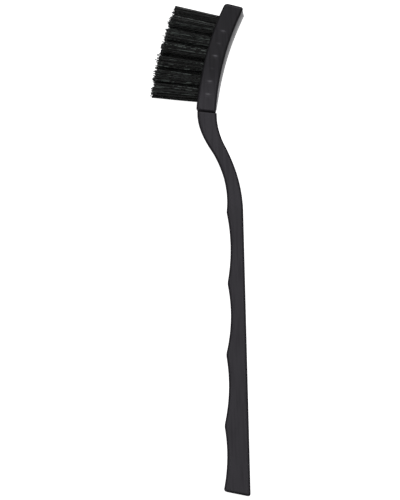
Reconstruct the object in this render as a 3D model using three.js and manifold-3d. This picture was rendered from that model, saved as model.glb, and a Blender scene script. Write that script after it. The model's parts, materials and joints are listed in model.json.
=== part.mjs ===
// Anti-static hand brush with a scalloped grip, an S-shaped neck and a tufted head, lying on its side.
// X runs from the bristle tips to the back, Y from the tail to the head, and Z is the width.
import * as THREE from 'three';
import { mergeVertices } from 'three/addons/utils/BufferGeometryUtils.js';
import Module from 'manifold-3d';

const wasm = await Module();
wasm.setup();

// All lengths are millimetres and all angles are degrees.
// The back edge: a straight grip, two neck bends and the head's hollow back
const TAIL_SCALLOP_LENGTH = 25.4;
const SCALLOP_PITCH = 25.3;
const NECK_BEND_RADIUS = 49.3;
const NECK_BEND_ANGLE = 28.7;
const SHOULDER_BEND_RADIUS = 22.4;
const SHOULDER_BEND_ANGLE = 33.4;
const HEAD_BACK_RADIUS = 91.6;
const HEAD_LENGTH = 38.2;

// Thickness from the back edge to the bristle side, and the finger scallops along it
const TAIL_THICKNESS = 9.52;
const RIDGE_THICKNESSES = [8.62, 7.37, 6.24, 5.9];
const SCALLOP_DEPTHS = [1.12, 1.28, 1.44, 1.26];
const NECK_THICKNESS = 4.8;
const NECK_TAPER_LENGTH = 17.9;
const FLARE_LENGTH = 13.5;
const SHOULDER_THICKNESS = 6.6;
const HEAD_DEPTH = 6.7;

// Width, edges and ends
const HANDLE_WIDTH = 12;
const NECK_INSET = 0.45;
const SHOULDER_SETBACK = 0.8;
const SHOULDER_SLANT = 4;
const SHOULDER_ROUND = 1;
const EDGE_RADIUS = 0.85;
const TAIL_SLANT = 12.7;
const HEAD_END_SLANT = 12.7;
const HEAD_CROWN = 1.35;
const CROWN_RISE_LENGTH = 32;
const CROWN_RISE_POWER = 0.5;
const CROWN_END_LENGTH = 1.9;

// The tuft field: staggered rows of tufts, trimmed to a plane with a slight bulge
const ROW_NAMES = ['upper', 'middle', 'lower'];
const TUFT_PITCH = 4.7;
const OUTER_ROW_START = 5.75;
const MIDDLE_ROW_START = 4.5;
const LAST_TUFT_TO_END = 6.2;
const FIELD_MARGIN = 0.7;
const LIP_WIDTH = 0.6;
const TUFT_RAKE = 9.4;
const TUFT_FAN = 8.4;
const TUFT_GAP = 0.15;
const BRISTLE_LENGTH = 14.4;
const TRIM_BULGE = 1.3;
const TRIM_BULGE_SKEW = 0.7;
const TRIM_UNEVENNESS = 0.5;
const STRANDS_PER_TUFT = 23;
const STRAND_RADIUS = 0.19;

// The seats in the head: hole, slice of the bristle face, and the flat wire anchor in the folded tuft
const HOLE_RADIUS = 1.7;
const BACK_WALL = 1.9;
const SLICE_THICKNESS = 1.2;
const ANCHOR_BITE = 0.25;
const ANCHOR_HEIGHT = 1.7;
const ANCHOR_THICKNESS = 0.35;
const FOLD_THICKNESS = 0.3;
const FIT = 0.15;

// How finely curved stretches are faceted
const SCALLOP_STEPS = 8;
const NECK_STEPS = 12;
const FLARE_STEPS = 10;
const HEAD_STEPS = 14;
const ROUND_STEPS = 3;
const CROWN_STEPS = 6;
const HOLE_SIDES = 8;
const STRAND_SIDES = 3;
const FACE_STEPS = 8;
const MERGE_DISTANCE = 1e-5;

const radians = THREE.MathUtils.degToRad;
const smooth = THREE.MathUtils.smoothstep;

// Stations along the back edge
const lastRidge = TAIL_SCALLOP_LENGTH + SCALLOP_PITCH * (RIDGE_THICKNESSES.length - 1);
const neckBendEnd = lastRidge + NECK_BEND_RADIUS * radians(NECK_BEND_ANGLE);
const headStart = neckBendEnd + SHOULDER_BEND_RADIUS * radians(SHOULDER_BEND_ANGLE);
const shoulder = headStart - SHOULDER_SETBACK;
const headEnd = headStart + HEAD_LENGTH;
const flareStart = shoulder - FLARE_LENGTH;

// A point reached along a heading, which is turned from +Y towards the bristle side
function across(from, heading, distance) {
  const inward = new THREE.Vector2(-Math.cos(heading), -Math.sin(heading));
  return from.clone().addScaledVector(inward, distance);
}

// The centres of the three bends, each met square to the edge
const neckHeading = radians(NECK_BEND_ANGLE);
const headHeading = neckHeading - radians(SHOULDER_BEND_ANGLE);
const neckCentre = across(new THREE.Vector2(0, lastRidge), 0, NECK_BEND_RADIUS);
const neckBendPoint = across(neckCentre, neckHeading, -NECK_BEND_RADIUS);
const shoulderCentre = across(neckBendPoint, neckHeading, -SHOULDER_BEND_RADIUS);
const headPoint = across(shoulderCentre, headHeading, SHOULDER_BEND_RADIUS);
const headCentre = across(headPoint, headHeading, -HEAD_BACK_RADIUS);
const faceRadius = HEAD_BACK_RADIUS + HEAD_DEPTH;

// The point at a station of the back edge, moved by an offset towards the bristle side
function place(station, offset) {
  if (station < lastRidge) {
    return new THREE.Vector2(-offset, station);
  }
  if (station < neckBendEnd) {
    const heading = (station - lastRidge) / NECK_BEND_RADIUS;
    return across(neckCentre, heading, offset - NECK_BEND_RADIUS);
  }
  if (station < headStart) {
    const heading = neckHeading - (station - neckBendEnd) / SHOULDER_BEND_RADIUS;
    return across(shoulderCentre, heading, offset + SHOULDER_BEND_RADIUS);
  }
  const heading = headHeading - (station - headStart) / HEAD_BACK_RADIUS;
  return across(headCentre, heading, offset + HEAD_BACK_RADIUS);
}

// The grip's ridges, from the tail's corner on, with a hollow from each one to the next
const tailCorner = TAIL_THICKNESS * Math.tan(radians(TAIL_SLANT));
const ridges = [{ station: tailCorner, thickness: TAIL_THICKNESS }];
RIDGE_THICKNESSES.forEach((thickness, i) => {
  ridges.push({ station: TAIL_SCALLOP_LENGTH + SCALLOP_PITCH * i, thickness });
});

function gripThickness(station) {
  if (station <= tailCorner) {
    return TAIL_THICKNESS;
  }
  const i = ridges.findLastIndex((ridge) => ridge.station <= station);
  const [from, to] = [ridges[i], ridges[i + 1]];
  const part = (station - from.station) / (to.station - from.station);
  const chord = THREE.MathUtils.lerp(from.thickness, to.thickness, part);
  return chord - SCALLOP_DEPTHS[i] * 4 * part * (1 - part);
}

// The neck thins from the last ridge and flares out again to the shoulder
function neckThickness(station) {
  const taper = Math.max(0, 1 - (station - lastRidge) / NECK_TAPER_LENGTH);
  const flare = smooth(station, flareStart, shoulder);
  return NECK_THICKNESS + (ridges.at(-1).thickness - NECK_THICKNESS) * taper * taper
    + (SHOULDER_THICKNESS - NECK_THICKNESS) * flare;
}

// How far the head has risen out of the neck, as a quarter round
function shoulderRise(station) {
  const left = 1 - Math.min(1, (station - shoulder) / SHOULDER_ROUND);
  return Math.sqrt(1 - left * left);
}

function thickness(station) {
  if (station < lastRidge) {
    return gripThickness(station);
  }
  if (station < shoulder) {
    return neckThickness(station);
  }
  return THREE.MathUtils.lerp(SHOULDER_THICKNESS, HEAD_DEPTH, shoulderRise(station));
}

function halfWidth(station) {
  const inset = station < shoulder ? smooth(station, lastRidge, shoulder) : 1 - shoulderRise(station);
  return HANDLE_WIDTH / 2 - NECK_INSET * inset;
}

// The crown across the head's back swells from the shoulder and is cut off at a slant before the head's end
const endRoundStart = headEnd - EDGE_RADIUS;
const crownEnd = endRoundStart - CROWN_END_LENGTH;

function crown(station) {
  const share = THREE.MathUtils.clamp((station - headStart) / CROWN_RISE_LENGTH, 0, 1);
  const left = THREE.MathUtils.clamp((endRoundStart - station) / CROWN_END_LENGTH, 0, 1);
  return HEAD_CROWN * share ** CROWN_RISE_POWER * left;
}

// The lean of a section, so that the tail, the shoulder and the head's end lie at a slant
function slant(station) {
  const tail = Math.tan(radians(TAIL_SLANT)) * Math.max(0, 1 - station / TAIL_SCALLOP_LENGTH);
  const away = Math.abs(station - shoulder) / FLARE_LENGTH;
  const step = Math.tan(radians(SHOULDER_SLANT)) * Math.max(0, 1 - away);
  const end = Math.tan(radians(HEAD_END_SLANT)) * Math.max(0, (station - headStart) / HEAD_LENGTH);
  return tail + step - end;
}

// One closed section: a rounded rectangle whose back bulges by the crown.
// The grip and the neck keep their thickness at each place where the sections lean.
function section(station, inset) {
  const lean = slant(station);
  const half = halfWidth(station) - inset;
  const leant = Math.min(station + lean * thickness(station), shoulder);
  const front = thickness(station < shoulder ? leant : station) - inset;
  const bulge = crown(station);
  const outline = [];
  for (let i = 1; i < CROWN_STEPS; i += 1) {
    const share = (2 * i) / CROWN_STEPS - 1;
    outline.push([inset - bulge * (1 - share * share), share * (half - EDGE_RADIUS)]);
  }
  const near = inset + EDGE_RADIUS;
  const far = front - EDGE_RADIUS;
  const side = half - EDGE_RADIUS;
  const corners = [[near, side], [far, side], [far, -side], [near, -side]];
  corners.forEach(([offset, z], quarter) => {
    for (let i = 0; i <= ROUND_STEPS; i += 1) {
      const turn = Math.PI * (1 - (quarter + i / ROUND_STEPS) / 2);
      outline.push([offset + EDGE_RADIUS * Math.cos(turn), z + EDGE_RADIUS * Math.sin(turn)]);
    }
  });
  return outline.map(([offset, z]) => {
    const point = place(station + lean * offset, offset);
    return new THREE.Vector3(point.x, point.y, z);
  });
}

// Stations of the sections, each with how far it is drawn in to round an end
function sectionStations() {
  const stations = [];
  const span = (from, to, steps) => {
    for (let i = 0; i < steps; i += 1) {
      stations.push([THREE.MathUtils.lerp(from, to, i / steps), 0]);
    }
  };
  for (let i = 0; i < ROUND_STEPS; i += 1) {
    const turn = radians((90 * i) / ROUND_STEPS);
    stations.push([EDGE_RADIUS * (1 - Math.cos(turn)), EDGE_RADIUS * (1 - Math.sin(turn))]);
  }
  span(EDGE_RADIUS, TAIL_SCALLOP_LENGTH, SCALLOP_STEPS);
  ridges.slice(1, -1).forEach(({ station }) => span(station, station + SCALLOP_PITCH, SCALLOP_STEPS));
  span(lastRidge, flareStart, NECK_STEPS);
  span(flareStart, shoulder, FLARE_STEPS);
  span(shoulder, shoulder + SHOULDER_ROUND, ROUND_STEPS);
  span(shoulder + SHOULDER_ROUND, crownEnd, HEAD_STEPS);
  span(crownEnd, endRoundStart, ROUND_STEPS);
  for (let i = 0; i <= ROUND_STEPS; i += 1) {
    const turn = radians((90 * i) / ROUND_STEPS);
    stations.push([headEnd - EDGE_RADIUS * (1 - Math.sin(turn)), EDGE_RADIUS * (1 - Math.cos(turn))]);
  }
  return stations;
}

// A closed skin over a row of sections that all have the same number of points
function loft(sections) {
  const size = sections[0].length;
  const points = sections.flat();
  const triangles = [];
  for (let ring = 0; ring + 1 < sections.length; ring += 1) {
    for (let i = 0; i < size; i += 1) {
      const next = (i + 1) % size;
      const [a, b] = [ring * size + i, ring * size + next];
      triangles.push(a, a + size, b, b, a + size, b + size);
    }
  }
  [[0, false], [sections.length - 1, true]].forEach(([ring, last]) => {
    const middle = new THREE.Vector3();
    sections[ring].forEach((point) => middle.addScaledVector(point, 1 / size));
    points.push(middle);
    for (let i = 0; i < size; i += 1) {
      const edge = [ring * size + i, ring * size + ((i + 1) % size)];
      triangles.push(points.length - 1, ...(last ? edge.reverse() : edge));
    }
  });
  const geometry = new THREE.BufferGeometry().setFromPoints(points);
  geometry.setIndex(triangles);
  return geometry;
}

// A three.js geometry as a solid that can be joined and cut, and back
function solid(geometry) {
  const bare = geometry.clone();
  bare.deleteAttribute('normal');
  bare.deleteAttribute('uv');
  const merged = mergeVertices(bare, MERGE_DISTANCE);
  const mesh = new wasm.Mesh({
    numProp: 3,
    vertProperties: new Float32Array(merged.attributes.position.array),
    triVerts: new Uint32Array(merged.index.array),
  });
  return new wasm.Manifold(mesh);
}

function toGeometry(body) {
  const mesh = body.getMesh();
  const geometry = new THREE.BufferGeometry();
  geometry.setAttribute('position', new THREE.BufferAttribute(mesh.vertProperties, 3));
  geometry.setIndex(new THREE.BufferAttribute(mesh.triVerts, 1));
  geometry.computeVertexNormals();
  return geometry;
}

// Each row has its own strip of the bristle face, and its holes are no wider than that
const rowSpacing = (HANDLE_WIDTH - 2 * LIP_WIDTH - FIT) / ROW_NAMES.length;
const sliceWidth = rowSpacing - FIT;
const holeRadius = Math.min(HOLE_RADIUS, sliceWidth / 2);

// The tuft field on the bristle face, with distances measured along the face from the head's start
const endSetback = HEAD_DEPTH * Math.tan(radians(HEAD_END_SLANT));
const faceEnd = (HEAD_LENGTH / HEAD_BACK_RADIUS) * faceRadius - endSetback;

// The places of a row's tufts, as many as fit
function tuftPlaces(start) {
  const distances = [];
  for (let distance = start; distance <= faceEnd - LAST_TUFT_TO_END; distance += TUFT_PITCH) {
    distances.push(distance);
  }
  return distances;
}

const outerPlaces = tuftPlaces(OUTER_ROW_START);
const middlePlaces = tuftPlaces(MIDDLE_ROW_START);
const allPlaces = [...outerPlaces, ...middlePlaces];
const fieldStart = Math.min(...allPlaces) - holeRadius - FIELD_MARGIN;
const fieldLength = Math.max(...allPlaces) + holeRadius + FIELD_MARGIN - fieldStart;
const fieldCentre = fieldStart + fieldLength / 2;

function faceAngle(distance) {
  return Math.PI + headHeading - distance / faceRadius;
}

// A layer under the bristle face, as long and wide as a part of the field
function faceLayer(length, low, high, width, z) {
  const from = faceAngle(fieldCentre - length / 2);
  const to = faceAngle(fieldCentre + length / 2);
  const shape = new THREE.Shape();
  shape.absarc(headCentre.x, headCentre.y, high, from, to, true);
  shape.absarc(headCentre.x, headCentre.y, low, to, from, false);
  const geometry = new THREE.ExtrudeGeometry(shape, {
    depth: width,
    bevelEnabled: false,
    curveSegments: FACE_STEPS,
  });
  return geometry.translate(0, 0, z - width / 2);
}

// The plane that the tips are trimmed to, square to the face at the middle of the field
const trimAngle = faceAngle(fieldCentre);
const trimNormal = new THREE.Vector3(Math.cos(trimAngle), Math.sin(trimAngle), 0);
const trimCentre = new THREE.Vector3(headCentre.x, headCentre.y, 0)
  .addScaledVector(trimNormal, faceRadius + BRISTLE_LENGTH);

// A tuft's frame: its root on the face, its axis, the direction along the row, and its share of the field.
// The tufts are raked back from the trim plane's normal, and they fan out towards the head's end.
function tuftFrame(distance, z) {
  const angle = faceAngle(distance);
  const root = new THREE.Vector3(
    headCentre.x + faceRadius * Math.cos(angle),
    headCentre.y + faceRadius * Math.sin(angle),
    z,
  );
  const share = (distance - fieldStart) / fieldLength;
  const heading = trimAngle + radians(TUFT_RAKE - TUFT_FAN * share);
  const axis = new THREE.Vector3(Math.cos(heading), Math.sin(heading), 0);
  const along = new THREE.Vector3(Math.sin(heading), -Math.cos(heading), 0);
  return { root, axis, along, share, turn: heading - Math.PI / 2 };
}

// A straight rod with flat sides between two points
function rod(from, to, radius, sides) {
  const corners = [];
  for (let i = 0; i < sides; i += 1) {
    const turn = (2 * Math.PI * i) / sides;
    corners.push(new THREE.Vector2(radius * Math.cos(turn), radius * Math.sin(turn)));
  }
  const axis = to.clone().sub(from);
  const outline = new THREE.Shape(corners);
  const geometry = new THREE.ExtrudeGeometry(outline, { depth: axis.length(), bevelEnabled: false });
  const ahead = new THREE.Vector3(0, 0, 1);
  geometry.applyQuaternion(new THREE.Quaternion().setFromUnitVectors(ahead, axis.normalize()));
  return geometry.translate(from.x, from.y, from.z);
}

function deep(frame, depth) {
  return frame.root.clone().addScaledVector(frame.axis, -depth);
}

// The anchor lies in the fold of its tuft, near the hole's bottom, and bites into the hole's wall
const holeDepth = HEAD_DEPTH - BACK_WALL;
const anchorDepth = holeDepth - FOLD_THICKNESS - 2 * FIT - ANCHOR_HEIGHT / 2;
const anchorWidth = 2 * (holeRadius + ANCHOR_BITE);

function anchorBox(clearance) {
  return new THREE.BoxGeometry(
    ANCHOR_THICKNESS + 2 * clearance,
    ANCHOR_HEIGHT + 2 * clearance,
    anchorWidth + 2 * clearance,
  );
}

function anchorSpace(frame) {
  const middle = deep(frame, anchorDepth);
  return anchorBox(FIT).rotateZ(frame.turn).translate(middle.x, middle.y, middle.z);
}

// The strands of one tuft, spread as a sunflower and opening evenly towards the tips
const plugRadius = holeRadius - FIT;
const strandRootRadius = plugRadius - STRAND_RADIUS;
const stagger = THREE.MathUtils.euclideanModulo(OUTER_ROW_START - MIDDLE_ROW_START, TUFT_PITCH);
const neighbourDistance = Math.min(
  TUFT_PITCH,
  Math.hypot(rowSpacing, stagger),
  Math.hypot(rowSpacing, TUFT_PITCH - stagger),
);
const strandTipRadius = (neighbourDistance - TUFT_GAP) / 2 - STRAND_RADIUS;
const goldenAngle = Math.PI * (3 - Math.sqrt(5));

function strands(frame, seed) {
  const rods = [];
  const bulge = TRIM_BULGE * Math.sin(Math.PI * frame.share ** TRIM_BULGE_SKEW);
  for (let i = 0; i < STRANDS_PER_TUFT; i += 1) {
    const share = Math.sqrt((i + 0.5) / STRANDS_PER_TUFT);
    const aside = frame.along.clone().multiplyScalar(share * Math.cos(i * goldenAngle));
    aside.z = share * Math.sin(i * goldenAngle);
    const root = deep(frame, SLICE_THICKNESS / 2).addScaledVector(aside, strandRootRadius);
    const tip = frame.root.clone().addScaledVector(aside, strandTipRadius);
    const short = trimCentre.clone().sub(tip).dot(trimNormal) / frame.axis.dot(trimNormal);
    const uneven = TRIM_UNEVENNESS * (2 * THREE.MathUtils.seededRandom(seed + i) - 1);
    tip.addScaledVector(frame.axis, short + bulge + uneven);
    rods.push(rod(root, tip, STRAND_RADIUS, STRAND_SIDES));
  }
  return rods;
}

// A row of tufts on its slice of the bristle face, each with its fold round an anchor
function bristleRow(frames, z, seed) {
  const slice = faceLayer(fieldLength, faceRadius - SLICE_THICKNESS, faceRadius, sliceWidth, z);
  let row = solid(slice);
  frames.forEach((frame, i) => {
    const plug = rod(deep(frame, holeDepth - FIT), deep(frame, SLICE_THICKNESS / 2), plugRadius, HOLE_SIDES);
    row = row.add(solid(plug)).subtract(solid(anchorSpace(frame)));
    strands(frame, seed + i * STRANDS_PER_TUFT).forEach((strand) => {
      row = row.add(solid(strand));
    });
  });
  return toGeometry(row);
}

// The one-piece moulding: grip, neck and head, with the seats of the tufts cut into the head
function handle(frames) {
  const skin = loft(sectionStations().map(([station, inset]) => section(station, inset)));
  const floor = faceRadius - SLICE_THICKNESS - FIT;
  const fieldWidth = HANDLE_WIDTH - 2 * LIP_WIDTH;
  const recess = faceLayer(fieldLength + 2 * FIT, floor, faceRadius + SLICE_THICKNESS, fieldWidth, 0);
  let body = solid(skin).subtract(solid(recess));
  frames.forEach((frame) => {
    body = body.subtract(solid(rod(deep(frame, holeDepth), frame.root, holeRadius, HOLE_SIDES)));
    body = body.subtract(solid(anchorSpace(frame)));
  });
  return toGeometry(body);
}

// Materials: carbon-loaded plastic, carbon-loaded filament and flat metal wire
const plastic = () => new THREE.MeshStandardMaterial({ color: 0x2c2c2e, roughness: 0.55, metalness: 0 });
const filament = () => new THREE.MeshStandardMaterial({ color: 0x161817, roughness: 0.45, metalness: 0 });
const wire = () => new THREE.MeshStandardMaterial({ color: 0xb59a5a, roughness: 0.35, metalness: 1 });

function add(group, name, geometry, material) {
  const mesh = new THREE.Mesh(geometry, material);
  mesh.name = name;
  group.add(mesh);
  return mesh;
}

// Every second row has the tufts that stand between those of its neighbours
const rows = ROW_NAMES.map((name, i) => {
  const z = ((ROW_NAMES.length - 1) / 2 - i) * rowSpacing;
  const places = i % 2 ? middlePlaces : outerPlaces;
  return { name, z, frames: places.map((distance) => tuftFrame(distance, z)) };
});

const assembly = new THREE.Group();
add(assembly, 'handle', handle(rows.flatMap((row) => row.frames)), plastic());
rows.forEach((row, i) => {
  const seed = i * allPlaces.length * STRANDS_PER_TUFT;
  add(assembly, `bristle_row_${row.name}`, bristleRow(row.frames, row.z, seed), filament());
  row.frames.forEach((frame, k) => {
    const anchor = add(assembly, `anchor_${row.name}_${k + 1}`, anchorBox(0), wire());
    anchor.position.copy(deep(frame, anchorDepth));
    anchor.rotation.z = frame.turn;
  });
});

// The origin is under the middle of the brush, on the surface that it lies on
const box = new THREE.Box3().setFromObject(assembly);
const middle = box.getCenter(new THREE.Vector3());
assembly.position.set(-middle.x, -middle.y, -box.min.z);

const brush = new THREE.Group();
brush.add(assembly);

export default brush;
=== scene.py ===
"""An anti-static hand brush: one black moulding with rows of black tufts, lying on its side.

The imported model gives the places. Here the moulding and the tufts get their fine surfaces and finishes.
X runs from the bristle tips to the back, Y from the tail to the head, and Z is the width. Lengths are
metres.
"""

import json
import math

import bpy
import numpy as np
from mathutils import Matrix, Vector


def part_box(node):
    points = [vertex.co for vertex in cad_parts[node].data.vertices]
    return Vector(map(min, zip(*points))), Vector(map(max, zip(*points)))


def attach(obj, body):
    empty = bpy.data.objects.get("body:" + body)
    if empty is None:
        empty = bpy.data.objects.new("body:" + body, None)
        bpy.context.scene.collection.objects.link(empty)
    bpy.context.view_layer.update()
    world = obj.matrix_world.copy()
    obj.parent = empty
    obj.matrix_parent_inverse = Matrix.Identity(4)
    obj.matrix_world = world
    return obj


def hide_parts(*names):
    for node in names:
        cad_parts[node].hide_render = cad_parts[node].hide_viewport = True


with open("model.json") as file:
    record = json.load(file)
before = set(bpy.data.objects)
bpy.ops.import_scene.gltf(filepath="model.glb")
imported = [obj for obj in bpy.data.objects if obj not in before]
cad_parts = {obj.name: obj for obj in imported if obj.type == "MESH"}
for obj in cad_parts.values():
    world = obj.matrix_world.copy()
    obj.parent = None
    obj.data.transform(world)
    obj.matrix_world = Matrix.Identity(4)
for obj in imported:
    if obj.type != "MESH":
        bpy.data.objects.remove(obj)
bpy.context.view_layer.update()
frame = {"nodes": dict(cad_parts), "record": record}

bl_info = {
    "name": "Anti-static brush",
    "version": (1, 0, 0),
    "blender": (4, 5, 0),
    "location": "View3D > Sidebar > Brush",
    "description": "Builds the visible surfaces of an anti-static hand brush round its packed solids",
    "category": "Object",
}

MM = 0.001
BODY = "root"
ROWS = ("upper", "middle", "lower")
MIDDLE_ROW = "middle"

# Seeds of the anchor marks' strengths and of each row's filaments
MARK_SEED = 24947
TUFT_SEEDS = (21, 9, 23)

# Rings along each length of the moulding, and points along the back, a side and the face of a ring
END_RINGS = 8
GRIP_RINGS = 229
NECK_RINGS = 109
DROP_RINGS = 5
STEP_RINGS = 19
HEAD_RINGS = 209
BACK_POINTS = 31
SIDE_POINTS = 20
FACE_POINTS = 62

# The stretches of a ring, in order
BACK, UPPER_SIDE, FACE, LOWER_SIDE = range(4)

# Parts of a bevel's width at which its points lie, and the power by which it drops towards the outer corner
BEVEL_PARTS = (0, 0.04, 0.15, 0.3, 0.45, 0.6, 0.8, 1)
BEVEL_POWER = 1.5

# Samples whose mean rounds off a ridge of the grip
RIDGE_SAMPLES = 5

# Head lengths that the head's bend runs on for, because slanted rings reach past the head's end
BEND_REACH = 2

# Where a sink mark and its pale edge, a painted highlight, lie to either side of the mark's middle, in half
# widths of the mark
SINK_ASIDE = 1
HIGHLIGHT_ASIDE = 0.5

# Sides of a filament, and parts of its length where its rings lie: the end pairs keep its shading straight
FILAMENT_SIDES = 5
FILAMENT_PARTS = (0, 0.02, 0.2, 0.4, 0.6, 0.8, 0.98, 1)

# Turn from one filament of a tuft to the next, as in the head of a sunflower
GOLDEN_ANGLE = math.pi * (3 - math.sqrt(5))

# Area over which the middles of a tuft's clumps are spread, against the tuft's own
CLUMP_REACH = 1.25

# A high highlight power leaves few filaments with a painted highlight, and a bulge skew below 1 moves the
# bulge to the shoulder
HIGHLIGHT_POWER = 4
BULGE_SKEW = 0.7

# Direction across the width
ACROSS = np.array([0.0, 0.0, 1.0])

# Sizes of the finishes' patterns, and the scale along a streak that makes it longer than wide
CLOUD_SIZE = 7 * MM
SCUFF_SIZE = 0.6 * MM
GRAIN_SIZE = 0.25 * MM
GRAIN_DEPTH = 0.02 * MM
HIGHLIGHT_DASH_SIZE = 1.8 * MM
ROLLED_LINE_SIZE = 0.06 * MM
ROLLED_LINE_DEPTH = 0.01 * MM
STREAK_SCALE = 0.05
BUMP_STRENGTH = 0.2

# Noise values between which scuffs, the painted highlight's pale dashes and a filament's roughness go from
# none to full
SCUFF_RANGE = (0.45, 0.75)
HIGHLIGHT_DASH_RANGE = (0.48, 0.55)
FILAMENT_RANGE = (0.3, 0.7)

# Half the floor's side, and the lamp's height, side and distance towards the head
FLOOR_HALF = 4.0
LAMP_HEIGHT = 5.2
LAMP_SIZE = 4.8
LAMP_AHEAD = 1.9


# Values that a user can change

def size(name, millimetres, about):
    """A length property, written in millimetres and kept in metres."""
    return bpy.props.FloatProperty(
        name=name, description=about, default=millimetres * MM, unit="LENGTH", precision=5)


def sizes(name, millimetres, about):
    """Several lengths of one kind, written in millimetres and kept in metres."""
    return bpy.props.FloatVectorProperty(
        name=name, description=about, size=len(millimetres), unit="LENGTH", precision=5,
        default=[value * MM for value in millimetres])


def turn(name, degrees, about):
    """An angle property, written in degrees and kept in radians."""
    return bpy.props.FloatProperty(
        name=name, description=about, default=math.radians(degrees), unit="ROTATION", subtype="ANGLE")


def count(name, number, about):
    """A property for a number of copies."""
    return bpy.props.IntProperty(name=name, description=about, default=number, min=1)


def share(name, number, about):
    """A property for a plain number, such as a roughness or a strength."""
    return bpy.props.FloatProperty(name=name, description=about, default=number, min=0.0, precision=4)


def linear(code):
    """The linear colour of an sRGB hex code such as #1c1c1e."""
    channels = np.array([int(code[i:i + 2], 16) for i in (1, 3, 5)]) / 255
    low = channels / 12.92
    high = ((channels + 0.055) / 1.055) ** 2.4
    return tuple(float(value) for value in np.where(channels <= 0.04045, low, high)) + (1.0,)


def colour(name, code, about):
    """A colour property, written as an sRGB hex code and kept as a linear colour."""
    return bpy.props.FloatVectorProperty(
        name=name, description=about, size=4, subtype="COLOR", min=0.0, max=1.0, default=linear(code))


class HandleSizes(bpy.types.PropertyGroup):
    """Sizes of the moulding: the back edge, the thickness along it, the width and the edges"""
    tail_scallop: size("Tail scallop length", 25.4, "From the tail's back corner to the first ridge")
    scallop_pitch: size("Scallop pitch", 25.3, "From one ridge of the grip to the next")
    neck_radius: size("Neck bend radius", 49.3, "Radius of the back edge in the neck")
    neck_angle: turn("Neck bend angle", 28.7, "How far the neck turns towards the bristles")
    shoulder_radius: size("Shoulder bend radius", 22.4, "Radius of the back edge below the head")
    shoulder_angle: turn("Shoulder bend angle", 33.4, "How far the neck turns back again")
    head_radius: size("Head back radius", 91.6, "Radius of the head's hollow back")
    head_length: size("Head length", 38.2, "From the last bend to the head's end along the back")
    tail_thickness: size("Tail thickness", 9.52, "Thickness at the tail")
    ridges: sizes("Ridge thicknesses", (8.62, 7.37, 6.24, 5.9), "Thickness at each ridge of the grip")
    hollows: sizes("Scallop depths", (1.12, 1.28, 1.44, 1.26), "Depth of each scallop below its ridges")
    ridge_round: size("Ridge rounding", 1.6, "Length over which each ridge is rounded off")
    neck_thickness: size("Neck thickness", 4.8, "Thickness of the thinnest stretch of the neck")
    neck_taper: size("Neck taper length", 17.9, "Length over which the grip thins into the neck")
    swell: size("Neck swell", 0.28, "How far the neck's back stands out below the shoulder")
    swell_length: size("Neck swell length", 13, "Length over which it comes to stand out")
    flare: size("Flare length", 13.5, "Length over which the neck widens to the shoulder")
    shoulder_thickness: size("Shoulder thickness", 6.6, "Thickness of the neck at the shoulder")
    head_depth: size("Head depth", 6.7, "From the head's back edge to its bristle face")
    chin: size("Head chin", 0.3, "How much deeper the head is at its start")
    chin_length: size("Head chin length", 11, "Length over which that fades out")
    width: size("Width", 12, "Width of the grip and the head")
    neck_inset: size("Neck inset", 0.45, "How far each side of the neck lies below the head's side")
    shoulder_setback: size("Shoulder setback", 0.8, "From the shoulder to the end of the last bend")
    shoulder_round: size("Shoulder rounding", 0.85, "Length of the round from the groove up to the head")
    shoulder_slant: turn("Shoulder slant", 4, "Slant of the shoulder across the neck")
    groove_depth: size("Groove depth", 0.65, "Depth of the shoulder groove below the neck's sides")
    groove_notch: size("Groove notch", 0.15, "Depth of the groove at the back and the bristle edge")
    groove_lip: size("Groove lip", 0.14, "Length over which the neck drops into the groove")
    edge_width: size("Edge width", 0.8, "How far the curved bevel of the edges reaches in over the sides")
    edge_depth: size("Edge depth", 0.36, "How far that bevel drops below the sides")
    end_radius: size("End radius", 1.0, "Rounding of the tail and the head's end, seen from the side")
    tail_slant: turn("Tail slant", 12.7, "Slant of the tail's end")
    head_slant: turn("Head end slant", 12.7, "Slant of the head's end")
    crown: size("Head crown", 1.35, "Bulge across the head's back")
    crown_rise: size("Crown rise", 32, "Length over which the crown swells")
    crown_power: share("Crown swell", 0.5, "How early the crown swells: 1 is even, less is earlier")
    crown_end: size("Crown end", 1.9, "Length of the slanted cut at the crown's end")
    dark_start: size("Dark start", 2, "From the head's start to where its skin begins to darken")
    dark_length: size("Dark length", 15, "Length over which it darkens")
    mark_depth: size("Anchor mark depth", 0.1, "Depth of the sink mark beside an outer row's anchor")
    mark_length: size("Anchor mark length", 0.75, "Half length of that mark, along the tuft")
    mark_width: size("Anchor mark width", 0.3, "Half width of that mark, across the tuft")
    mark_shift: size("Anchor mark shift", 0.2, "From the anchor to that mark, towards the shoulder")
    seam_height: size("Parting line height", 0.05, "Height of the line round the middle of the width")
    seam_width: size("Parting line width", 0.12, "Half width of that line")


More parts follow.
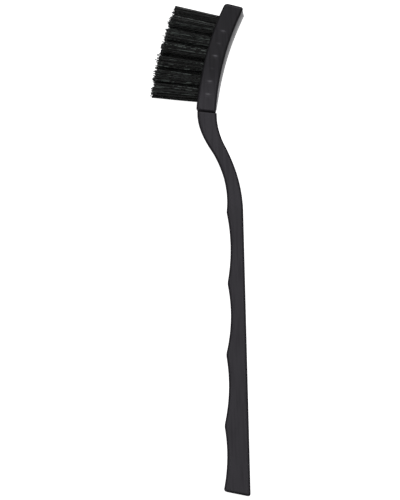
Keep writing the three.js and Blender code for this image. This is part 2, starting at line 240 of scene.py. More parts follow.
class TuftSizes(bpy.types.PropertyGroup):
    """Sizes of the tufts and their filaments"""
    rake: turn("Tuft rake", 9.4, "Lean of the lowest tufts from the square of the trim plane")
    fan: turn("Tuft fan", 8.4, "How far the tufts at the head's end lean back again")
    anchor_depth: size("Anchor depth", 3.35, "From the bristle face down to the middle of an anchor")
    pitch: size("Tuft pitch", 4.7, "From one tuft of a row to the next along the face")
    outer_start: size("Outer row start", 5.85, "From the head's start to the first tuft of an outer row")
    middle_start: size("Middle row start", 4.5, "From the head's start to the middle row's first tuft")
    field_start: size("Field start", 2.1, "From the head's start to the tuft field along the face")
    field_length: size("Field length", 33, "Length of the tuft field along the face")
    bristle_length: size("Bristle length", 14.1, "From the face to the trim plane at the field's centre")
    hole_radius: size("Hole radius", 1.7, "Radius of the holes of the outer rows")
    middle_hole_radius: size("Middle hole radius", 1.95, "Radius of the holes of the middle row")
    hole_depth: size("Hole rim depth", 0.9, "Depth to which the rim of a hole can be seen")
    hole_rim: size("Hole rim width", 0.3, "Width of the sloped rim of a hole")
    tip_radius: size("Tuft tip radius", 2.15, "Radius that the tufts of the outer rows open to")
    middle_tip_radius: size("Middle tip radius", 2.0, "Radius that the tufts of the middle row open to")
    # Painted shade: the middle row lies in shade behind the outer rows, so it gets only this share of the
    # painted highlights
    middle_highlight_share: share("Middle row wear", 0.25, "How scuffed the middle row is against the outer rows")
    filament_radius: size("Filament radius", 0.17, "Radius of one filament")
    bulge: size("Trim bulge", 1.3, "How far the longest tips stand beyond the trim plane")
    unevenness: size("Trim unevenness", 0.32, "Spread of the filaments' cut ends about the trim plane")
    clump_unevenness: size("Clump unevenness", 0.36, "Spread of whole clumps' ends about the trim plane")
    splay: size("Filament splay", 0.12, "Spread of the filaments' tips sideways")
    wave: size("Filament wave", 0.1, "Spread of the filaments sideways at half their height")
    gather: share("Clump gathering", 0.2, "How far filaments lean to their clump's middle, from 0 to 1")
    clumps: count("Clumps in a tuft", 24, "Clumps that the filaments of a tuft gather in")
    stray: share("Stray share", 0.09, "Share of filaments that stand away from their tuft")
    stray_splay: size("Stray splay", 0.45, "How far those stand away")
    stray_length: size("Stray length", 0.9, "How much longer those are at most")
    filaments: count("Filaments in a tuft", 88, "Filament ends that show in each tuft")


class Finishes(bpy.types.PropertyGroup):
    """Colours and surface values of the plastics and the wire"""
    plastic: colour("Plastic", "#262428", "Carbon-filled black plastic of the moulding")
    plastic_pale: colour("Plastic, pale clouds", "#2b292d", "The same plastic where the carbon is thinner")
    plastic_dark: colour("Plastic, head's end", "#161617", "The same plastic in the darker end of the head")
    # A painted highlight: the pale dash beside each anchor's sink mark, for the light on the mark's rim
    plastic_painted_highlight: colour("Plastic, pressed", "#7c7a80", "The same plastic where the anchors press it")
    plastic_sheen: colour("Plastic sheen", "#f8f4ff", "Tint of the light that the moulded skin reflects")
    plastic_roughness: share("Plastic roughness", 0.5, "Roughness of the moulded skin")
    plastic_scuffed: share("Plastic roughness, scuffed", 0.62, "Roughness of the skin where it is scuffed")
    head_matt: share("Head matt", 0.1, "How much rougher the skin is at the head's end")
    edge_polish: share("Edge polish", 0.25, "How much smoother the edges are from handling")
    filament: colour("Filament", "#090b0a", "Carbon-filled black filament")
    # Painted highlight: pale dashes along some filaments, for the thin lights on the strands
    filament_painted_highlight: colour("Filament, pale dashes", "#78817d", "The same filament where it is scuffed")
    filament_roughness: share("Filament roughness", 0.25, "Roughness of the drawn filament")
    filament_scuffed: share("Filament roughness, scuffed", 0.4, "Roughness of the filament where scuffed")
    wire: colour("Anchor wire", "#d9bd78", "Bright flat brass wire")
    wire_roughness: share("Anchor wire roughness", 0.3, "Roughness of the rolled wire")


class StageValues(bpy.types.PropertyGroup):
    """The camera, the floor and the lights"""
    view_height: size("Picture height", 177.74, "Height of the picture at the upper side of the brush")
    view_distance: size("Camera distance", 4000, "From the camera to the upper side of the brush")
    view_lean: turn("Camera roll", 1.492, "Roll of the camera against the grip's back edge")
    view_x: size("View centre X", -0.9, "Where the middle of the picture lies across the brush")
    view_y: size("View centre Y", 0.31, "Where the middle of the picture lies along the brush")
    floor: colour("Floor", "#f4f4f4", "Pale floor")
    floor_glow: share("Floor glow", 1.1, "Light that the lit floor gives off")
    sky: colour("Surroundings", "#808080", "Plain grey surroundings")
    sky_strength: share("Surroundings strength", 0.15, "Brightness of the surroundings")
    lamp_power: share("Lamp power", 174.0, "Power of the overhead soft lamp in watts")


# Meshes from arrays

def smooth_step(value, low, high):
    """0 below low, 1 above high, and an S-shaped rise between them."""
    part = np.clip((value - low) / (high - low), 0, 1)
    return part * part * (3 - 2 * part)


def steps(start, end, number):
    """A number of evenly spaced values after a start, the last of them at the end."""
    return np.linspace(start, end, number + 1)[1:]


def ring_faces(rings, points):
    """Quads between neighbouring rings of a tube whose rings are closed loops of points."""
    first = np.arange(rings - 1)[:, None] * points
    here = np.arange(points)[None, :]
    ahead = (here + 1) % points
    quads = np.stack([first + here, first + points + here, first + points + ahead, first + ahead], axis=-1)
    return quads.reshape(-1, 4)


def end_caps(rings, points):
    """Triangles that close the first and the last ring of a tube to one middle point each.

    The two middle points come after those of the rings.
    """
    here = np.arange(points)
    ahead = (here + 1) % points
    last = (rings - 1) * points
    middle = rings * points
    first_fan = np.stack([here, ahead, np.full(points, middle)], axis=-1)
    last_fan = np.stack([last + ahead, last + here, np.full(points, middle + 1)], axis=-1)
    return np.concatenate([first_fan, last_fan])


def make_piece(name, points, groups, material, attributes):
    """A mesh object at the origin from points, groups of faces with equal corners, and point attributes.

    Faces with four corners are shaded smooth, and the others, which close an end, flat.
    """
    mesh = bpy.data.meshes.new(name)
    corners = np.concatenate([faces.ravel() for faces in groups])
    totals = np.concatenate([np.full(len(faces), faces.shape[1]) for faces in groups])
    starts = np.concatenate([[0], np.cumsum(totals)[:-1]])
    mesh.vertices.add(len(points))
    mesh.vertices.foreach_set("co", points.astype(np.float32).ravel())
    mesh.loops.add(len(corners))
    mesh.loops.foreach_set("vertex_index", corners.astype(np.int32))
    mesh.polygons.add(len(starts))
    mesh.polygons.foreach_set("loop_start", starts.astype(np.int32))
    mesh.polygons.foreach_set("use_smooth", totals == 4)
    for title, values in attributes.items():
        layer = mesh.attributes.new(title, "FLOAT", "POINT")
        layer.data.foreach_set("value", values.astype(np.float32).ravel())
    mesh.update(calc_edges=True)
    if mesh.validate():
        raise RuntimeError(f"the mesh of {name} had faulty faces")
    mesh.materials.append(material)
    piece = bpy.data.objects.new(name, mesh)
    bpy.context.scene.collection.objects.link(piece)
    return piece


# The shape of the moulding

class Moulding:
    """The handle's shape as functions of the station along its back edge.

    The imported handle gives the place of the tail's back corner, and its sizes, s, give everything else.
    """

    def __init__(self, sizes_of_handle):
        s = self.s = sizes_of_handle
        neck_bend = s.neck_radius * s.neck_angle
        shoulder_bend = s.shoulder_radius * s.shoulder_angle
        self.bends = (
            (neck_bend, 1 / s.neck_radius),
            (shoulder_bend, -1 / s.shoulder_radius),
            (BEND_REACH * s.head_length, -1 / s.head_radius),
        )
        self.last_ridge = s.tail_scallop + s.scallop_pitch * (len(s.ridges) - 1)
        self.head_start = self.last_ridge + neck_bend + shoulder_bend
        self.shoulder = self.head_start - s.shoulder_setback
        self.head_end = self.head_start + s.head_length
        self.round_start = self.head_end - s.end_radius
        self.face_radius = s.head_radius + s.head_depth
        low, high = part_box("handle")
        self.middle = (low.z + high.z) / 2
        self.origin = np.array([self.back_x(), low.y - s.end_radius * math.tan(s.tail_slant)])

    def back_x(self):
        """X of the grip's straight back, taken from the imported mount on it."""
        mounts = {mount["name"]: mount for mount in frame["record"]["mounts"]}
        return mounts["grip_back"]["pos_m"][0]

    def edge(self, station):
        """The back edge: straight along the grip, then arcs that each start along the last one's end.

        Gives the points and the heading, which turns from +Y towards the bristles.
        """
        x = np.zeros_like(station)
        y = np.minimum(station, self.last_ridge)
        heading = np.zeros_like(station)
        start = self.last_ridge
        begun = 0.0
        for length, curve in self.bends:
            turned = curve * np.clip(station - start, 0, length)
            x = x + (np.cos(begun + turned) - math.cos(begun)) / curve
            y = y + (np.sin(begun + turned) - math.sin(begun)) / curve
            heading = heading + turned
            start += length
            begun += curve * length
        return x, y, heading

    def plane_point(self, station, offset):
        """The point at a station, moved by an offset from the back edge towards the bristles."""
        x, y, heading = self.edge(station)
        return np.stack([x - offset * np.cos(heading), y - offset * np.sin(heading)], axis=-1) + self.origin

    def grip_thickness(self, station):
        """Straight chords between the ridges, each hollowed by a parabola."""
        s = self.s
        corner = s.tail_thickness * math.tan(s.tail_slant)
        at = np.concatenate([[corner], s.tail_scallop + s.scallop_pitch * np.arange(len(s.ridges))])
        thick = np.concatenate([[s.tail_thickness], np.array(s.ridges)])
        cell = np.clip(np.searchsorted(at, station, side="right") - 1, 0, len(at) - 2)
        part = np.clip((station - at[cell]) / (at[cell + 1] - at[cell]), 0, 1)
        hollow = np.array(s.hollows)[cell] * 4 * part * (1 - part)
        return np.interp(station, at, thick) - hollow

    def rise(self, station):
        """How far the head has risen out of the neck, as a quarter round."""
        left = 1 - np.clip((station - self.shoulder) / self.s.shoulder_round, 0, 1)
        return np.sqrt(1 - left * left)

    def groove(self, station):
        """Depth of the shoulder groove from 0 to 1: a drop from the neck, and the round up to the head."""
        drop = smooth_step(station, self.shoulder - self.s.groove_lip, self.shoulder)
        return drop * (1 - self.rise(station))

    def thickness(self, station):
        """The scalloped grip, the neck that thins and flares, and the head, a little deeper at its start.

        The grip is a mean over a short spread of stations, which rounds off its ridges.
        """
        s = self.s
        spread = np.linspace(-0.5, 0.5, RIDGE_SAMPLES) * s.ridge_round
        grip = self.grip_thickness(np.minimum(station, self.last_ridge)[..., None] + spread).mean(axis=-1)
        taper = np.clip(1 - (station - self.last_ridge) / s.neck_taper, 0, 1)
        flare = smooth_step(station, self.shoulder - s.flare, self.shoulder)
        neck = (s.neck_thickness + (s.ridges[-1] - s.neck_thickness) * taper ** 2
                + (s.shoulder_thickness - s.neck_thickness) * flare)
        chin = s.chin * (1 - smooth_step(station, self.shoulder, self.shoulder + s.chin_length))
        head = s.shoulder_thickness + (s.head_depth + chin - s.shoulder_thickness) * self.rise(station)
        return np.where(station < self.last_ridge, grip, np.where(station < self.shoulder, neck, head))

    def swell(self, station):
        """How far the neck's back stands out: a slow rise, then level up to the shoulder."""
        s = self.s
        level = self.shoulder - s.swell_length / 2
        rise = smooth_step(station, level - s.swell_length, level)
        return s.swell * rise * (1 - smooth_step(station, self.shoulder - s.groove_lip, self.shoulder))

    def half_width(self, station):
        """Full width along the grip, drawn in along the neck, and full again past the shoulder's round."""
        drawn = smooth_step(station, self.last_ridge, self.shoulder)
        inset = np.where(station < self.shoulder, drawn, 1 - self.rise(station))
        return self.s.width / 2 - self.s.neck_inset * inset

    def crown(self, station):
        """The bulge across the head's back, which swells from its start and ends in a slanted cut."""
        s = self.s
        swell = np.clip((station - self.head_start) / s.crown_rise, 0, 1) ** s.crown_power
        left = np.clip((self.round_start - station) / s.crown_end, 0, 1)
        return s.crown * swell * left

    def slant(self, station):
        """A ring's lean: most at the tail, a little at the shoulder and the other way at the head's end."""
        s = self.s
        tail = math.tan(s.tail_slant) * np.clip(1 - station / s.tail_scallop, 0, 1)
        away = np.abs(station - self.shoulder) / s.flare
        step = math.tan(s.shoulder_slant) * np.clip(1 - away, 0, 1)
        end = math.tan(s.head_slant) * np.clip((station - self.head_start) / s.head_length, 0, 1)
        return tail + step - end

    def rings(self):
        """Stations of the rings, close where the shape turns, and how far each is drawn in from 0 to 1.

        The rings at both ends are drawn in along a quarter round.
        """
        s = self.s
        quarter = np.linspace(0, math.pi / 2, END_RINGS)
        tail = s.end_radius * (1 - np.cos(quarter))
        grip = steps(s.end_radius, self.last_ridge, GRIP_RINGS)
        neck = steps(self.last_ridge, self.shoulder - s.groove_lip, NECK_RINGS)
        drop = steps(neck[-1], self.shoulder, DROP_RINGS)
        step = self.shoulder + s.shoulder_round * (1 - np.cos(steps(0, math.pi / 2, STEP_RINGS)))
        head = steps(step[-1], self.round_start, HEAD_RINGS)
        end = self.head_end - s.end_radius * (1 - np.sin(quarter[1:]))
        station = np.concatenate([tail, grip, neck, drop, step, head, end])
        inset = np.zeros_like(station)
        inset[:len(quarter)] = 1 - np.sin(quarter)
        inset[-len(end):] = 1 - np.cos(quarter[1:])
        return station, inset

    def template(self):
        """Shares that place the points round a ring, as columns.

        A point's offset is a share of the thickness, of the bevel's width and of the crown, and its place
        across the width a share of the half width and of the bevel's depth. The loop runs over the back,
        the upper side, the bristle face and the lower side, with a bevel between each two that steepens
        towards the outer corner. The last columns say which stretch a point is in and how far down a bevel
        it is.
        """
        back = np.linspace(-1, 1, BACK_POINTS + 2)[1:-1]
        face = np.linspace(1, -1, FACE_POINTS + 2)[1:-1]
        side = np.linspace(0, 1, SIDE_POINTS + 2)[1:-1]
        bevel = np.array(BEVEL_PARTS)
        worn = 1 - bevel
        drop = -worn ** BEVEL_POWER
        stretches = [
            (0, 0, back ** 2 - 1, back, -back, BACK, 0),
            (0, bevel, 0, 1, drop, UPPER_SIDE, worn),
            (side, 1 - 2 * side, 0, 1, 0, UPPER_SIDE, 0),
            (1, -bevel[::-1], 0, 1, drop[::-1], UPPER_SIDE, worn[::-1]),
            (1, 0, 0, face, -face, FACE, 0),
            (1, -bevel, 0, -1, -drop, LOWER_SIDE, worn),
            (1 - side, 2 * side - 1, 0, -1, 0, LOWER_SIDE, 0),
            (0, bevel[::-1], 0, -1, -drop[::-1], LOWER_SIDE, worn[::-1]),
        ]
        return np.concatenate([np.stack(np.broadcast_arrays(*stretch)) for stretch in stretches], axis=1)


class Tufts:
    """The tufts' places and directions on the bristle face, each over its packed anchor, from sizes s."""

    def __init__(self, sizes_of_tufts, moulding):
        self.s = sizes_of_tufts
        self.moulding = moulding
        centre = np.array(self.s.field_start + self.s.field_length / 2)
        self.face_centre, self.normal_angle = self.on_face(centre, moulding.middle)
        self.normal = np.array([math.cos(self.normal_angle), math.sin(self.normal_angle), 0.0])

    def on_face(self, distance, z):
        """The point of the bristle face at a distance from the head's start, and its normal's angle."""
        shape = self.moulding
        station = shape.head_start + distance * shape.s.head_radius / shape.face_radius
        plane = shape.plane_point(station, shape.s.head_depth)
        _, _, heading = shape.edge(station)
        return np.concatenate([plane, np.full(plane.shape[:-1] + (1,), z)], axis=-1), math.pi + heading

    def radii(self, name):
        """The radius of a row's tufts in their holes and at their tips."""
        s = self.s
        if name == MIDDLE_ROW:
            return s.middle_hole_radius, s.middle_tip_radius
        return s.hole_radius, s.tip_radius

    def row(self, name):
        """For a row's tufts: roots on the face, axes, directions along the row and parts of the field.

        The tufts lean back from the trim plane's square, and less and less towards the head's end.
        """
        s = self.s
        number = sum(node.startswith(f"anchor_{name}_") for node in frame["nodes"])
        low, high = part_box(f"bristle_row_{name}")
        start = s.middle_start if name == MIDDLE_ROW else s.outer_start
        distance = start + s.pitch * np.arange(number)
        roots, _ = self.on_face(distance, (low.z + high.z) / 2)
        part = (distance - s.field_start) / s.field_length
        heading = self.normal_angle + s.rake - s.fan * part
        axis = np.stack([np.cos(heading), np.sin(heading), np.zeros_like(heading)], axis=-1)
        along = np.stack([np.sin(heading), -np.cos(heading), np.zeros_like(heading)], axis=-1)
        return roots, axis, along, part


def handle_points(moulding, tufts):
    """The moulding's skin: the template carried along the stations, with the skin's worn, tone and painted
    rim highlight.

    A ring's thickness is taken where its lean meets the bristle edge. Towards both ends the half width
    drops by the same bevel as over the long edges. A fine ridge, a bell across the width, runs round the
    middle of it. Then the sides sink beside the outer anchors and the face sinks into the holes.
    """
    s = moulding.s
    station, inset = (values[:, None] for values in moulding.rings())
    of_thickness, of_bevel, of_crown, of_width, of_drop, stretch, worn = moulding.template()[:, None, :]
    lean = moulding.slant(station)
    leant = np.minimum(station + lean * moulding.thickness(station), moulding.shoulder)
    full = moulding.thickness(np.where(station < moulding.shoulder, leant, station))
    groove = moulding.groove(station)
    end = np.minimum(station, moulding.head_end - station)
    at_end = np.clip(1 - end / s.edge_width, 0, 1)
    half = moulding.half_width(station) - s.edge_depth * at_end ** BEVEL_POWER - s.groove_depth * groove
    drawn = s.end_radius * inset + s.groove_notch * groove
    offset = drawn + of_thickness * (full - 2 * drawn) + of_bevel * s.edge_width
    offset = offset + of_crown * moulding.crown(station) - (1 - of_thickness) * moulding.swell(station)
    z = of_width * half + of_drop * s.edge_depth
    seam = s.seam_height * np.exp(-(z / s.seam_width) ** 2)
    offset = offset + np.where(stretch == BACK, -seam, np.where(stretch == FACE, seam, 0))
    plane = moulding.plane_point(station + lean * offset, offset)
    sunk, rim_highlight = anchor_marks(moulding, tufts, plane, z, stretch)
    offset = offset - np.where(stretch == FACE, hole_depths(moulding, tufts, plane, z), 0)
    plane = moulding.plane_point(station + lean * offset, offset)
    points = np.concatenate([plane, (z - np.sign(z) * sunk + moulding.middle)[..., None]], axis=-1)
    dark_from = moulding.head_start + s.dark_start
    tone = smooth_step(station, dark_from, dark_from + s.dark_length) * np.ones_like(offset)
    worn = np.maximum(worn * (1 - at_end), np.sin(math.pi * at_end))
    worn = np.maximum(worn, np.where(stretch == BACK, moulding.crown(station) / s.crown, 0))
    return points, {"worn": worn, "tone": tone, "rim_highlight": rim_highlight}


def anchor_marks(moulding, tufts, plane, z, stretch):
    """How far the sides sink beside the outer anchors, and a painted highlight beside each mark from 0 to
    1.

    Each mark is a bell along the tuft and across it, with a strength of its own, and its pale edge, a
    painted highlight on the mark's rim, is the same bell a little nearer to the head's end.
    """
    s = moulding.s
    random = np.random.default_rng(MARK_SEED)
    sunk = np.zeros_like(z)
    rim_highlight = np.zeros_like(z)
    for name in ROWS:
        for root, up, ahead, _ in zip(*tufts.row(name)):
            strength = random.uniform(0.0, 1.0)
            if name == MIDDLE_ROW:
                continue
            from_anchor = plane - (root - up * tufts.s.anchor_depth)[:2]
            deep = from_anchor @ up[:2] / s.mark_length
            aside = (from_anchor @ ahead[:2] + s.mark_shift) / s.mark_width
            same_side = np.isin(stretch, (UPPER_SIDE, LOWER_SIDE)) & (z * (root[2] - moulding.middle) > 0)
            strength = np.where(same_side, strength, 0)
            sunk = sunk + strength * s.mark_depth * np.exp(-deep ** 2 - (aside + SINK_ASIDE) ** 2)
            # Painted highlight: a pale bell beside the sink, for the light on the mark's rim
            rim_highlight = rim_highlight + strength * np.exp(-deep ** 2 - (aside - HIGHLIGHT_ASIDE) ** 2)
    return sunk, rim_highlight


def hole_depths(moulding, tufts, plane, z):
    """How far the bristle face sinks round each tuft's axis: a flat hole with a sloped rim."""
    s = tufts.s
    depth = np.zeros_like(z)
    for name in ROWS:
        inside = tufts.radii(name)[0] - s.hole_rim / 2
        for root, _, ahead, _ in zip(*tufts.row(name)):
            away = np.hypot((plane - root[:2]) @ ahead[:2], z - (root[2] - moulding.middle))
            depth = depth + s.hole_depth * (1 - smooth_step(away, inside, inside + s.hole_rim))
    return depth


# The shape of the tufts

def sideways(along, pairs):
    """Offsets square to each tuft, from pairs of a length along the row and a length across the width."""
    return along[:, None, :] * pairs[..., :1] + ACROSS * pairs[..., 1:]


def clump_pull(s, spots, random):
    """How filament tips at unit spots of their tufts move when each gathers to the nearest of some clumps.

    Also gives each filament's clump as a number.
    """
    around = random.uniform(0, 2 * math.pi, (len(spots), s.clumps))
    out = np.sqrt(random.uniform(0, CLUMP_REACH, (len(spots), s.clumps)))
    centres = np.stack([out * np.cos(around), out * np.sin(around)], axis=-1)
    apart = np.linalg.norm(spots[:, :, None, :] - centres[:, None, :, :], axis=-1)
    nearest = apart.argmin(axis=-1)
    chosen = np.take_along_axis(centres, nearest[..., None], axis=1)
    return s.gather * (chosen - spots), nearest


def filament_paths(tufts, name, random):
    """The middle line of each filament in a row, as points by tuft, filament and part of the length.

    The roots fill the hole in a sunflower pattern, which opens to the tip radius with the square root of
    the part. With its square a filament bends to its clump and by a splay of its own, and a half wave
    bends it between its ends. Its lift takes it along the tuft's axis to the trim plane, which the bulge
    raises, give or take the unevenness of the filament and of its clump. A few filaments stray: they
    splay and reach further.
    """
    s = tufts.s
    roots, axis, along, part_of_field = tufts.row(name)
    shape = (len(roots), s.filaments)
    number = np.arange(s.filaments)
    reach = np.sqrt((number + 0.5) / s.filaments)
    angle = number * GOLDEN_ANGLE + random.uniform(0, 2 * math.pi, (len(roots), 1))
    spots = np.stack([reach * np.cos(angle), reach * np.sin(angle)], axis=-1)
    pull, clump = clump_pull(s, spots, random)
    root_radius, tip_radius = (radius - s.filament_radius for radius in tufts.radii(name))
    root = roots[:, None, :] + sideways(along, spots) * root_radius
    strays = random.uniform(0, 1, shape) < s.stray
    splay = random.normal(0, 1, shape + (2,)) * np.where(strays, s.stray_splay, s.splay)[..., None]
    spread = sideways(along, spots * (tip_radius - root_radius))
    bend = sideways(along, pull * tip_radius + splay)
    wave = sideways(along, random.normal(0, s.wave, shape + (2,)))
    plane = tufts.face_centre + tufts.normal * s.bristle_length
    lift = ((plane - root) @ tufts.normal) / (axis @ tufts.normal)[:, None]
    of_clump = random.normal(0, s.clump_unevenness, (len(roots), s.clumps))
    lift = lift + random.normal(0, s.unevenness, shape) + np.take_along_axis(of_clump, clump, axis=1)
    lift = lift + np.where(strays, random.uniform(0, s.stray_length, shape), 0)
    lift = lift + s.bulge * np.sin(math.pi * part_of_field ** BULGE_SKEW)[:, None]
    part = np.array(FILAMENT_PARTS)
    height = -s.hole_depth + (lift[..., None] + s.hole_depth) * part
    return (root[:, :, None, :] + axis[:, None, None, :] * height[..., None]
            + spread[:, :, None, :] * np.sqrt(part)[:, None]
            + bend[:, :, None, :] * (part ** 2)[:, None]
            + wave[:, :, None, :] * np.sin(math.pi * part)[:, None])


def tuft_row(tufts, name, random, material):
    """One row of tufts: a tube round the middle line of each filament, with a flat cut at both ends.

    Every point has its filament's number and how strong that filament's painted highlight is, from 0 to 1.
    """
    s = tufts.s
    path = filament_paths(tufts, name, random)
    _, _, along, _ = tufts.row(name)
    corner = 2 * math.pi * np.arange(FILAMENT_SIDES) / FILAMENT_SIDES
    section = s.filament_radius * sideways(along, np.stack([np.cos(corner), np.sin(corner)], axis=-1)[None])
    points = path[:, :, :, None, :] + section[:, None, None, :, :]
    filaments = path.shape[0] * path.shape[1]
    rings = len(FILAMENT_PARTS)
    first = (np.arange(filaments) * rings * FILAMENT_SIDES)[:, None, None]
    sides = ring_faces(rings, FILAMENT_SIDES)[None] + first
    loop = np.arange(FILAMENT_SIDES)
    cuts = np.stack([loop, (rings - 1) * FILAMENT_SIDES + loop[::-1]])[None] + first
    # Painted highlight: a few filaments get pale dashes for the thin lights on the strands
    highlight_share = random.uniform(0, 1, filaments) ** HIGHLIGHT_POWER
    # Painted shade: the middle row, in shade behind the outer rows, gets fewer painted highlights
    if name == MIDDLE_ROW:
        highlight_share = highlight_share * s.middle_highlight_share
    values = {"strand_highlight": highlight_share, "number": np.arange(filaments)}
    values = {title: np.repeat(value, rings * FILAMENT_SIDES) for title, value in values.items()}
    groups = [sides.reshape(-1, 4), cuts.reshape(-1, FILAMENT_SIDES)]
    return make_piece(f"tuft_row_{name}", points.reshape(-1, 3), groups, material, values)


# Materials

def add_node(tree, kind, links=(), **settings):
    """Adds a shader node with its settings and links.

    A setting is a value of the node or of a socket. A link is a socket with the output that feeds it, or
    with a fixed value in the output's stead.
    """
    node = tree.nodes.new(kind)
    for key, value in settings.items():
        if key in node.bl_rna.properties:
            setattr(node, key, value)
        else:
            node.inputs[key.replace("_", " ")].default_value = value
    for socket, source in links:
        if isinstance(source, bpy.types.NodeSocket):
            tree.links.new(source, node.inputs[socket])
        else:
            node.inputs[socket].default_value = source
    return node


def new_material(name, **shader):
    """A material with a Principled shader whose constant values are set on its own sockets."""
    material = bpy.data.materials.new(name)
    material.use_nodes = True
    tree = material.node_tree
    principled = tree.nodes["Principled BSDF"]
    for key, value in shader.items():
        principled.inputs[key.replace("_", " ")].default_value = value
    return material, tree, principled


def moulded_plastic(finishes):
    """Carbon-filled polypropylene from a spark-eroded mould.

    It is black with faint clouds where the carbon is thinner, darker towards the head's end, and painted
    pale beside the anchors' sink marks, a painted highlight on each mark's rim. Its skin has a fine grain
    that breaks up the gloss, scuffs along the grip and edges that are a little smoother from handling. The
    grain is drawn coarser than the real one, which is too fine to show.
    """
    material, tree, shader = new_material(
        "carbon_filled_polypropylene", IOR=1.49, Specular_Tint=finishes.plastic_sheen)
    place = add_node(tree, "ShaderNodeTexCoord").outputs["Object"]
    tone, rim_highlight, worn = (
        add_node(tree, "ShaderNodeAttribute", attribute_name=name).outputs["Fac"]
        for name in ("tone", "rim_highlight", "worn"))
    clouds = add_node(tree, "ShaderNodeTexNoise", [("Vector", place)], Scale=1 / CLOUD_SIZE, Detail=3.0)
    body = finishes.plastic
    for factor, over in (
            (clouds.outputs["Fac"], finishes.plastic_pale),
            (tone, finishes.plastic_dark),
            # The pale dashes beside the anchor marks are a painted highlight
            (rim_highlight, finishes.plastic_painted_highlight)):
        body = add_node(
            tree, "ShaderNodeMix", [("Factor", factor), ("A", body), ("B", over)],
            data_type="RGBA").outputs["Result"]
    tree.links.new(body, shader.inputs["Base Color"])
    lengthened = add_node(tree, "ShaderNodeMapping", [("Vector", place)], Scale=(1, STREAK_SCALE, 1))
    scuffs = add_node(
        tree, "ShaderNodeTexNoise", [("Vector", lengthened.outputs["Vector"])],
        Scale=1 / SCUFF_SIZE, Detail=4.0)
    rough = add_node(
        tree, "ShaderNodeMapRange", [("Value", scuffs.outputs["Fac"])],
        From_Min=SCUFF_RANGE[0], From_Max=SCUFF_RANGE[1],
        To_Min=finishes.plastic_roughness, To_Max=finishes.plastic_scuffed).outputs["Result"]
    for value, change in ((tone, finishes.head_matt), (worn, -finishes.edge_polish)):
        rough = add_node(
            tree, "ShaderNodeMath", [(0, value), (1, change), (2, rough)],
            operation="MULTIPLY_ADD").outputs["Value"]
    tree.links.new(rough, shader.inputs["Roughness"])
    grain = add_node(tree, "ShaderNodeTexNoise", [("Vector", place)], Scale=1 / GRAIN_SIZE, Detail=2.0)
    bump = add_node(
        tree, "ShaderNodeBump", [("Height", grain.outputs["Fac"])],
        Strength=BUMP_STRENGTH, Distance=GRAIN_DEPTH)
    tree.links.new(bump.outputs["Normal"], shader.inputs["Normal"])
    return material


def drawn_filament(finishes):
    """Carbon-filled nylon filament, drawn and cut.

    Each strand has its own strength of painted highlight: paler dashes along it stand in for the thin
    lights on the strands. Its drawn skin is smooth enough to show a thin light. Its index is set below
    nylon's own, to match the dull look of the field.
    """
    material, tree, shader = new_material("carbon_filled_nylon", IOR=1.35)
    strand_highlight, number = (
        add_node(tree, "ShaderNodeAttribute", attribute_name=name).outputs["Fac"]
        for name in ("strand_highlight", "number"))
    place = add_node(tree, "ShaderNodeTexCoord").outputs["Object"]
    along = add_node(
        tree, "ShaderNodeTexNoise", [("Vector", place), ("W", number)], noise_dimensions="4D",
        Scale=1 / HIGHLIGHT_DASH_SIZE, Detail=2.0).outputs["Fac"]
    highlight_dashes = add_node(
        tree, "ShaderNodeMapRange", [("Value", along)], From_Min=HIGHLIGHT_DASH_RANGE[0], From_Max=HIGHLIGHT_DASH_RANGE[1])
    # Painted highlight: pale dashes on the filaments whose share is high
    scuffed = add_node(
        tree, "ShaderNodeMath", [(0, strand_highlight), (1, highlight_dashes.outputs["Result"])], operation="MULTIPLY")
    body = add_node(
        tree, "ShaderNodeMix",
        [("Factor", scuffed.outputs["Value"]), ("A", finishes.filament), ("B", finishes.filament_painted_highlight)],
        data_type="RGBA")
    tree.links.new(body.outputs["Result"], shader.inputs["Base Color"])
    rough = add_node(
        tree, "ShaderNodeMapRange", [("Value", along)],
        From_Min=FILAMENT_RANGE[0], From_Max=FILAMENT_RANGE[1],
        To_Min=finishes.filament_roughness, To_Max=finishes.filament_scuffed)
    tree.links.new(rough.outputs["Result"], shader.inputs["Roughness"])
    return material


def rolled_wire(finishes):
    """Bright flat brass wire, rolled and cut, with fine lines along it."""
    material, tree, shader = new_material(
        "rolled_brass", Metallic=1.0, Base_Color=finishes.wire, Roughness=finishes.wire_roughness)
    place = add_node(tree, "ShaderNodeTexCoord").outputs["Object"]
    lengthened = add_node(tree, "ShaderNodeMapping", [("Vector", place)], Scale=(1, 1, STREAK_SCALE))
    lines = add_node(
        tree, "ShaderNodeTexNoise", [("Vector", lengthened.outputs["Vector"])], Scale=1 / ROLLED_LINE_SIZE)
    bump = add_node(
        tree, "ShaderNodeBump", [("Height", lines.outputs["Fac"])],
        Strength=BUMP_STRENGTH, Distance=ROLLED_LINE_DEPTH)
    tree.links.new(bump.outputs["Normal"], shader.inputs["Normal"])
    return material


# The pieces

def settle(piece, nodes):
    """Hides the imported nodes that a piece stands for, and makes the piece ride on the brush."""
    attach(piece, BODY)
    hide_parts(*nodes)


class ANTISTATIC_OT_handle(bpy.types.Operator):
    """Builds the one-piece moulding: the grip, the neck and the head"""
    bl_idname = "antistatic.handle"
    bl_label = "Build handle"

    def execute(self, context):
        scene = context.scene
        moulding = Moulding(scene.brush_handle)
        points, values = handle_points(moulding, Tufts(scene.brush_tufts, moulding))
        rings, around = points.shape[:2]
        skin = np.concatenate([points.reshape(-1, 3), points[[0, -1]].mean(axis=1)])
        attributes = {
            name: np.concatenate([value.ravel(), value[[0, -1]].mean(axis=1)])
            for name, value in values.items()
        }
        groups = [ring_faces(rings, around), end_caps(rings, around)]
        material = moulded_plastic(scene.brush_finishes)
        piece = make_piece("moulded_handle", skin, groups, material, attributes)
        settle(piece, ["handle"])
        return {"FINISHED"}


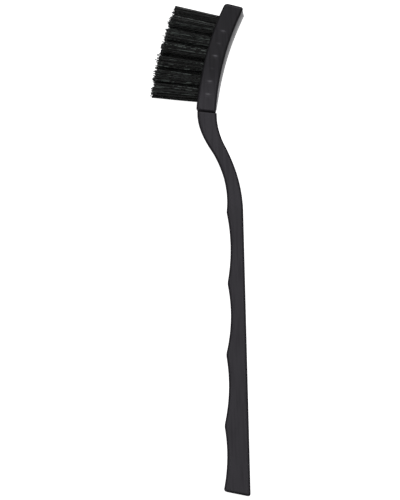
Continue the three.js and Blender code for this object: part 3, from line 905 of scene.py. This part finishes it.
class ANTISTATIC_OT_tufts(bpy.types.Operator):
    """Builds the three rows of tufts, filament by filament"""
    bl_idname = "antistatic.tufts"
    bl_label = "Build tufts"

    def execute(self, context):
        scene = context.scene
        tufts = Tufts(scene.brush_tufts, Moulding(scene.brush_handle))
        material = drawn_filament(scene.brush_finishes)
        for name, seed in zip(ROWS, TUFT_SEEDS):
            piece = tuft_row(tufts, name, np.random.default_rng(seed), material)
            settle(piece, [f"bristle_row_{name}"])
        return {"FINISHED"}


class ANTISTATIC_OT_anchors(bpy.types.Operator):
    """Gives the wire anchors inside the head their metal"""
    bl_idname = "antistatic.anchors"
    bl_label = "Finish anchors"

    def execute(self, context):
        material = rolled_wire(context.scene.brush_finishes)
        for name, node in frame["nodes"].items():
            if name.startswith("anchor_"):
                node.data.materials.clear()
                node.data.materials.append(material)
        return {"FINISHED"}


# The stage

def lit_floor(stage):
    """A pale floor that gives off some light of its own, as a light table does."""
    material, _, _ = new_material(
        "pale_floor", Roughness=0.9, Base_Color=stage.floor,
        Emission_Color=stage.floor, Emission_Strength=stage.floor_glow)
    corners = np.array([[-1, -1, 0], [1, -1, 0], [1, 1, 0], [-1, 1, 0]]) * FLOOR_HALF
    floor = make_piece("floor", corners, [np.array([[0, 1, 2, 3]])], material, {})


def surroundings(scene, stage):
    """Plain grey surroundings that fill the shadows."""
    world = bpy.data.worlds.new("surroundings")
    world.use_nodes = True
    background = world.node_tree.nodes["Background"]
    background.inputs["Color"].default_value = stage.sky
    background.inputs["Strength"].default_value = stage.sky_strength
    scene.world = world


def soft_lamp(scene, stage):
    """One broad soft lamp above the brush, a little towards its head."""
    data = bpy.data.lights.new("soft_lamp", "AREA")
    data.shape = "SQUARE"
    data.size = LAMP_SIZE
    data.energy = stage.lamp_power
    lamp = bpy.data.objects.new("soft_lamp", data)
    lamp.location = (0, LAMP_AHEAD, LAMP_HEIGHT)
    lamp.rotation_euler = (-math.atan2(LAMP_AHEAD, LAMP_HEIGHT), 0, 0)
    scene.collection.objects.link(lamp)


def overhead_camera(scene, stage):
    """A far camera that looks straight down, rolled a little. Its sensor spans the picture's height."""
    camera = bpy.data.objects.new("camera", bpy.data.cameras.new("camera"))
    scene.collection.objects.link(camera)
    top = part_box("handle")[1].z
    camera.location = (stage.view_x, stage.view_y, top + stage.view_distance)
    camera.rotation_euler = (0, 0, -stage.view_lean)
    camera.data.lens = camera.data.sensor_width * stage.view_distance / stage.view_height
    scene.camera = camera


class ANTISTATIC_OT_stage(bpy.types.Operator):
    """Sets the pale floor, the soft lamp and the camera that looks straight down"""
    bl_idname = "antistatic.stage"
    bl_label = "Set stage"

    def execute(self, context):
        scene = context.scene
        stage = scene.brush_stage
        scene.view_settings.view_transform = "Standard"
        lit_floor(stage)
        surroundings(scene, stage)
        soft_lamp(scene, stage)
        overhead_camera(scene, stage)
        return {"FINISHED"}


class VIEW3D_PT_antistatic_brush(bpy.types.Panel):
    """Lists the steps that build the brush"""
    bl_label = "Anti-static brush"
    bl_idname = "VIEW3D_PT_antistatic_brush"
    bl_space_type = "VIEW_3D"
    bl_region_type = "UI"
    bl_category = "Brush"

    def draw(self, context):
        for operator in OPERATORS:
            self.layout.operator(operator.bl_idname)


GROUPS = {
    "brush_handle": HandleSizes,
    "brush_tufts": TuftSizes,
    "brush_finishes": Finishes,
    "brush_stage": StageValues,
}
OPERATORS = (ANTISTATIC_OT_handle, ANTISTATIC_OT_tufts, ANTISTATIC_OT_anchors, ANTISTATIC_OT_stage)
CLASSES = (*GROUPS.values(), *OPERATORS, VIEW3D_PT_antistatic_brush)


def register():
    """Adds the classes to Blender and the groups of values to its scenes."""
    for item in CLASSES:
        bpy.utils.register_class(item)
    for name, group in GROUPS.items():
        setattr(bpy.types.Scene, name, bpy.props.PointerProperty(type=group))


def unregister():
    """Takes out what register adds."""
    for name in GROUPS:
        delattr(bpy.types.Scene, name)
    for item in reversed(CLASSES):
        bpy.utils.unregister_class(item)


def main():
    """Builds the whole brush and its stage."""
    register()
    bpy.ops.antistatic.handle()
    bpy.ops.antistatic.tufts()
    bpy.ops.antistatic.anchors()
    bpy.ops.antistatic.stage()


if __name__ == "__main__":
    main()
